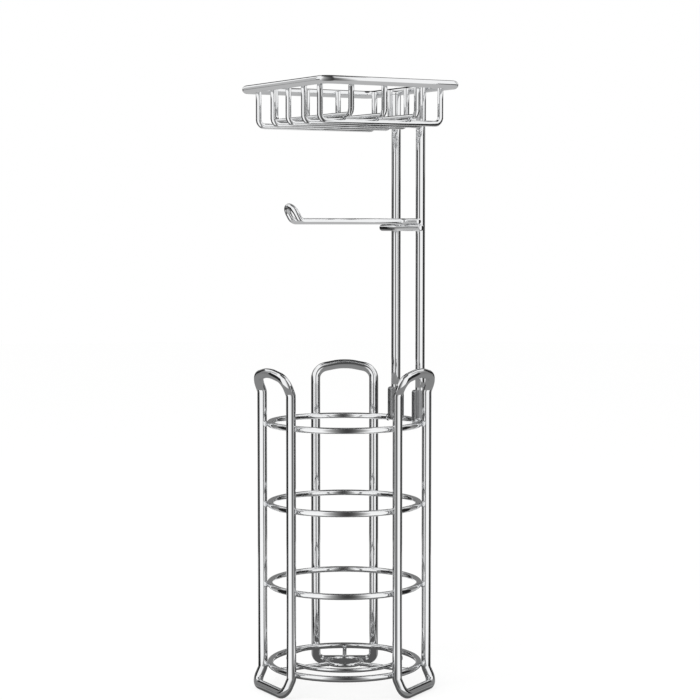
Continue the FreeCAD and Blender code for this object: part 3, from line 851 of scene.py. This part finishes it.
class ROLLHOLDER_OT_weld_beads(bpy.types.Operator):
    """Lay a weld bead where rods meet: one set on the cage, one on the upper frame"""

    bl_idname = "roll_holder.weld_beads"
    bl_label = "Weld Beads"

    def execute(self, context):
        cage = bmesh.new()
        self.weld_rings(cage)
        self.weld_rest(cage)
        self.weld_sockets(cage)
        add_piece(cage, "cage_welds", "base", "wire", "plated_weld")
        upper = bmesh.new()
        self.weld_arm(upper)
        self.weld_basket(upper)
        add_piece(upper, "upper_welds", "upper_frame", "wire", "plated_weld")
        return {"FINISHED"}

    def crossing(self, bm, place, pressed, along, wire):
        """A bead where one rod lies across another."""
        add_weld(bm, place, pressed, along, wire * making().weld_spread, wire * making().weld_height)

    def collar(self, bm, place, along, wire):
        """A bead round a rod that runs into another piece."""
        side = ALONG_X if along == UP else UP
        add_weld(bm, place, along, side, wire * making().collar_spread, wire * making().collar_height)

    def weld_rings(self, bm):
        """Each ring to the six uprights of the legs."""
        side, back = leg_upright()
        for turn in LEG_TURNS.values():
            for across in (side, -side):
                outward = turned(Vector((across, back, 0)).normalized(), turn)
                for name in RING_NAMES:
                    place = outward * ring_reach() + UP * ring_height(name)
                    self.crossing(bm, place, outward, UP, ring_wire())

    def weld_rest(self, bm):
        """The spokes to the bottom ring and the hub, and the rest ring to the spokes."""
        middle, half = middle_and_half("front_rest_spoke")
        wire = half.x
        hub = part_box("rest_hub_ring")[1].x
        rest_half = middle_and_half("roll_rest_ring")[1]
        rest = rest_half.x - rest_half.z
        rim = ring_reach() - 2 * ring_wire()
        for turn in LEG_TURNS.values():
            outward = turned(ALONG_Y, turn)
            for distance in (hub, rim):
                self.collar(bm, outward * distance + UP * middle.z, outward, wire)
            self.crossing(bm, outward * rest + UP * (middle.z + half.z), UP, outward, wire)

    def weld_sockets(self, bm):
        """The top ring to the sockets, where it runs in and out."""
        reach = ring_reach() - ring_wire()
        for side in SIDES:
            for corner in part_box(f"{side}_post_socket"):
                outward = Vector((corner.x, math.sqrt(reach ** 2 - corner.x ** 2), 0)) / reach
                along = UP.cross(outward)
                self.collar(bm, outward * reach + UP * ring_height("top"), along, ring_wire())

    def weld_arm(self, bm):
        """The bar and the arm to the posts and to each other, and the posts to the rear rail."""
        bar, bar_half = middle_and_half("arm_cross_bar")
        arm = bpy.context.scene.holder_bends.arm_wire / 2
        arm_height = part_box("roll_arm")[0].z + arm
        drop = rail_line()[2] * making().post_weld_drop
        reach = making().stitch_reach
        width, height = arm * making().stitch_width, arm * making().weld_height
        for side in SIDES:
            foot, head = post_place(side)
            front = foot.y - tube_radius()
            self.crossing(bm, Vector((foot.x, front, bar.z)), ALONG_Y, UP, bar_half.z)
            self.crossing(bm, Vector((foot.x, front, arm_height)), ALONG_Y, UP, arm)
            self.collar(bm, head - UP * drop, UP, tube_radius() * making().post_weld_size)
            for across in (foot.x - reach, foot.x + reach):
                place = Vector((across, bar.y, bar.z + bar_half.z))
                add_weld(bm, place, UP, ALONG_X, width, height, making().stitch_length)

    def weld_basket(self, bm):
        """The basket wires' ends to the rim, and the long wires to the cross wires."""
        near, far, rail = rail_line()
        for node in LONG_WIRES:
            across = middle_and_half(node)[0].x
            for back in (near.y + rail, far.y - rail):
                self.crossing(bm, Vector((across, back, near.z)), ALONG_Y, UP, wire_radius(node))
            for other in CROSS_WIRES:
                back = middle_and_half(other)[0].y
                place = Vector((across, back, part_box(other)[0].z))
                self.crossing(bm, place, UP, ALONG_Y, wire_radius(node))
        for node in CROSS_WIRES:
            back = middle_and_half(node)[0].y
            for across in (near.x + rail, far.x - rail):
                self.crossing(bm, Vector((across, back, near.z)), ALONG_X, UP, wire_radius(node))


# Operator for the stage

class ROLLHOLDER_OT_stage(bpy.types.Operator):
    """Set the camera, the pale floor, the white surroundings, a soft lamp and the cards"""

    bl_idname = "roll_holder.stage"
    bl_label = "Stage"

    def execute(self, context):
        studio = context.scene.holder_studio
        context.scene.view_settings.view_transform = "Standard"
        self.set_camera(studio)
        self.set_world(studio)
        self.lay_floor(studio)
        self.hang_lamp(studio)
        self.stand_cards(studio)
        self.stand_front_card(studio)
        self.lay_level_cards()
        return {"FINISHED"}

    def set_camera(self, studio):
        """The photo's view."""
        data = bpy.data.cameras.new("view_camera")
        data.lens = studio.lens
        camera = new_object("view_camera", data)
        camera.location = studio.camera_place
        camera.rotation_euler = (math.pi / 2 - studio.camera_tilt, 0, studio.camera_azimuth)
        bpy.context.scene.camera = camera

    def set_world(self, studio):
        """White where it is seen, at a plain level where it lights."""
        world = bpy.data.worlds.new("white_surroundings")
        bpy.context.scene.world = world
        sheet = NodeSheet(world)
        seen = sheet.seen_directly()
        strength = seen + (1.0 - seen) * studio.fill
        background = sheet.add(
            "ShaderNodeBackground", None, {"Color": (1.0, 1.0, 1.0, 1.0), "Strength": strength}
        )
        sheet.finish(background, "ShaderNodeOutputWorld")

    def lay_floor(self, studio):
        """A pale floor that keeps a shadow and is lifted to the white behind it."""
        material, sheet = new_finish("pale_floor")
        worn = studio.floor_roughness + sheet.noise(scale=3.0, detail=2.0) * studio.floor_wear
        matte = sheet.principled(base_color=(*studio.floor, 1.0), roughness=worn)
        lift = sheet.seen_directly() * studio.floor_lift
        sheet.finish(sheet.blend(lift, matte, sheet.emission(1.0)))
        bm = bmesh.new()
        bmesh.ops.create_circle(bm, cap_ends=True, segments=STAGE_STEPS, radius=studio.floor_radius)
        stage_mesh(bm, "floor", material)

    def hang_lamp(self, studio):
        """One soft lamp above and in front, to the left."""
        data = bpy.data.lights.new("soft_lamp", "AREA")
        data.energy = studio.key_power
        data.size = studio.key_size
        lamp = new_object("soft_lamp", data)
        place = view_vector(studio, studio.key_right, studio.key_nearer) + UP * studio.key_height
        lamp.location = place
        lamp.rotation_euler = (UP * studio.key_aim - place).to_track_quat("-Z", "Y").to_euler()
        lamp.visible_glossy = False

    def stand_cards(self, studio):
        """Upright grey cards round the holder: at both sides, with a slot in each, and behind."""
        dark = card_paper("dark_card", studio.dark_card)
        grey = card_paper("grey_card", studio.grey_card)
        pale = card_paper("pale_card", studio.pale_card)
        ahead = view_vector(studio, 0.0, studio.card_distance)
        end, slot_start, slot_end = studio.side_end, studio.slot_start, studio.slot_end
        side_cards = {
            "near_card": (dark, dark, studio.side_height, studio.side_start, slot_start),
            "slot_card": (grey, pale, studio.slot_height, slot_start, slot_end),
            "far_card": (dark, dark, studio.side_height, slot_end, end),
        }
        for name, (paper, skirt_paper, top, first, last) in side_cards.items():
            for side, near in both_sides(ahead, first, last).items():
                add_card(f"{side}_{name}", paper, near, UP * top, last - first)
                self.lay_skirt(f"{side}_{name}_skirt", skirt_paper, near, last - first)
        high = UP * studio.slot_height
        rise = UP * studio.slot_top - high
        for side, near in both_sides(ahead, slot_start, slot_end).items():
            add_card(f"{side}_high_card", pale, near + high, rise, slot_end - slot_start)
        behind = turned(ahead, end)
        around = math.tau - 2 * end
        change = UP * studio.rear_change
        add_card("rear_low_card", grey, behind, change, around)
        add_card("rear_high_card", dark, behind + change, UP * studio.rear_height - change, around)

    def stand_front_card(self, studio):
        """A narrow flat card close in front, which fades out at its edges."""
        left = view_vector(studio, studio.front_left, studio.front_distance)
        right = view_vector(studio, studio.front_right, studio.front_distance)
        bm = bmesh.new()
        edge = start_edge(bm, left, UP * studio.side_height)
        run_straight(bm, edge, right - left)
        card_mesh(bm, "front_card", soft_paper(studio))

    def lay_skirt(self, name, paper, foot, turn):
        """A card on the floor from the low card to the foot of an upright card."""
        low = LEVEL_CARDS["low_card"]
        inset = foot.normalized() * low.radius
        add_card(name, paper, inset + UP * low.height, foot - inset, turn)

    def lay_level_cards(self):
        """Level round cards, facing up."""
        for name, card in LEVEL_CARDS.items():
            paper = card_paper(name, card.grey, card.one_sided)
            place = Matrix.Translation(UP * card.height)
            bm = bmesh.new()
            bmesh.ops.create_circle(
                bm, cap_ends=True, segments=STAGE_STEPS, radius=card.radius, matrix=place
            )
            card_mesh(bm, name, paper)


def view_vector(studio, right, nearer):
    """A level vector to the right in the view and towards the camera."""
    level = Vector((right, -nearer, 0))
    return turned(level, studio.camera_azimuth)


def both_sides(ahead, first, last):
    """Where a card between two turns from the camera starts, on the right and on the left."""
    return {"right": turned(ahead, first), "left": turned(ahead, -last)}


def stage_mesh(bm, name, material):
    """A stage object from a bmesh."""
    item = mesh_object(bm, name, material)
    return item


def card_paper(name, grey, one_sided=False):
    """Paper of an even grey, which may be seen from its front alone."""
    material, sheet = new_finish(name)
    paper = sheet.emission(grey)
    if one_sided:
        behind = sheet.add("ShaderNodeNewGeometry", output="Backfacing")
        paper = sheet.blend(behind, paper, sheet.clear())
    sheet.finish(paper)
    return material


def soft_paper(studio):
    """Paper of the front card, which fades out towards its left and right edges."""
    material, sheet = new_finish("front_card")
    rightwards = {0: sheet.place(), 1: view_vector(studio, 1.0, 0.0)}
    across = sheet.add("ShaderNodeVectorMath", {"operation": "DOT_PRODUCT"}, rightwards, "Value")
    middle = (studio.front_left + studio.front_right) / 2
    off = (across - middle) / (studio.front_right - middle)
    sheet.finish(sheet.blend((off * off).clamped(), sheet.emission(studio.front_card), sheet.clear()))
    return material


def card_mesh(bm, name, paper):
    """A stage object that is seen by metal alone."""
    card = stage_mesh(bm, name, paper)
    for sight in ("camera", "diffuse", "transmission", "volume_scatter", "shadow"):
        setattr(card, f"visible_{sight}", False)


def add_card(name, paper, corner, rise, turn):
    """A card that turns round the holder, drawn from an upright or a level edge."""
    bm = bmesh.new()
    edge = start_edge(bm, corner, rise)
    run_bend(bm, edge, ORIGIN, UP, turn)
    card_mesh(bm, name, paper)


def start_edge(bm, corner, rise):
    """An edge that a card is drawn from."""
    first = bmesh.ops.create_vert(bm, co=corner)["vert"][0]
    second = bmesh.ops.create_vert(bm, co=corner + rise)["vert"][0]
    return bmesh.ops.contextual_create(bm, geom=[first, second])["edges"]


# Panel and registration

OPERATORS = (
    ROLLHOLDER_OT_leg_loops,
    ROLLHOLDER_OT_cage_rings,
    ROLLHOLDER_OT_roll_rest,
    ROLLHOLDER_OT_post_sockets,
    ROLLHOLDER_OT_posts,
    ROLLHOLDER_OT_roll_arm,
    ROLLHOLDER_OT_shelf_rim,
    ROLLHOLDER_OT_basket_wires,
    ROLLHOLDER_OT_weld_beads,
    ROLLHOLDER_OT_stage,
)


class ROLLHOLDER_PT_pieces(bpy.types.Panel):
    """Pieces of the roll holder and the sizes they are made by"""

    bl_idname = "ROLLHOLDER_PT_pieces"
    bl_label = "Roll Holder"
    bl_space_type = "VIEW_3D"
    bl_region_type = "UI"
    bl_category = "Roll Holder"

    def draw(self, context):
        for operator in OPERATORS:
            self.layout.operator(operator.bl_idname)
        for name in GROUPS:
            group = getattr(context.scene, name)
            box = self.layout.box()
            for field in group.bl_rna.properties.keys():
                if field not in ("rna_type", "name"):
                    box.prop(group, field)


GROUPS = {
    "holder_bends": RodBends,
    "holder_making": Making,
    "holder_finish": Finish,
    "holder_studio": Studio,
}
CLASSES = (*GROUPS.values(), *OPERATORS, ROLLHOLDER_PT_pieces)


def register():
    """Add the classes and the scene's properties."""
    for item in CLASSES:
        bpy.utils.register_class(item)
    for name, group in GROUPS.items():
        setattr(bpy.types.Scene, name, PointerProperty(type=group))


def unregister():
    """Take the scene's properties and the classes away again."""
    for name in GROUPS:
        delattr(bpy.types.Scene, name)
    for item in reversed(CLASSES):
        bpy.utils.unregister_class(item)


def main():
    """Make every piece and the stage."""
    register()
    for operator in OPERATORS:
        group, name = operator.bl_idname.split(".")
        getattr(getattr(bpy.ops, group), name)()


if __name__ == "__main__":
    main()
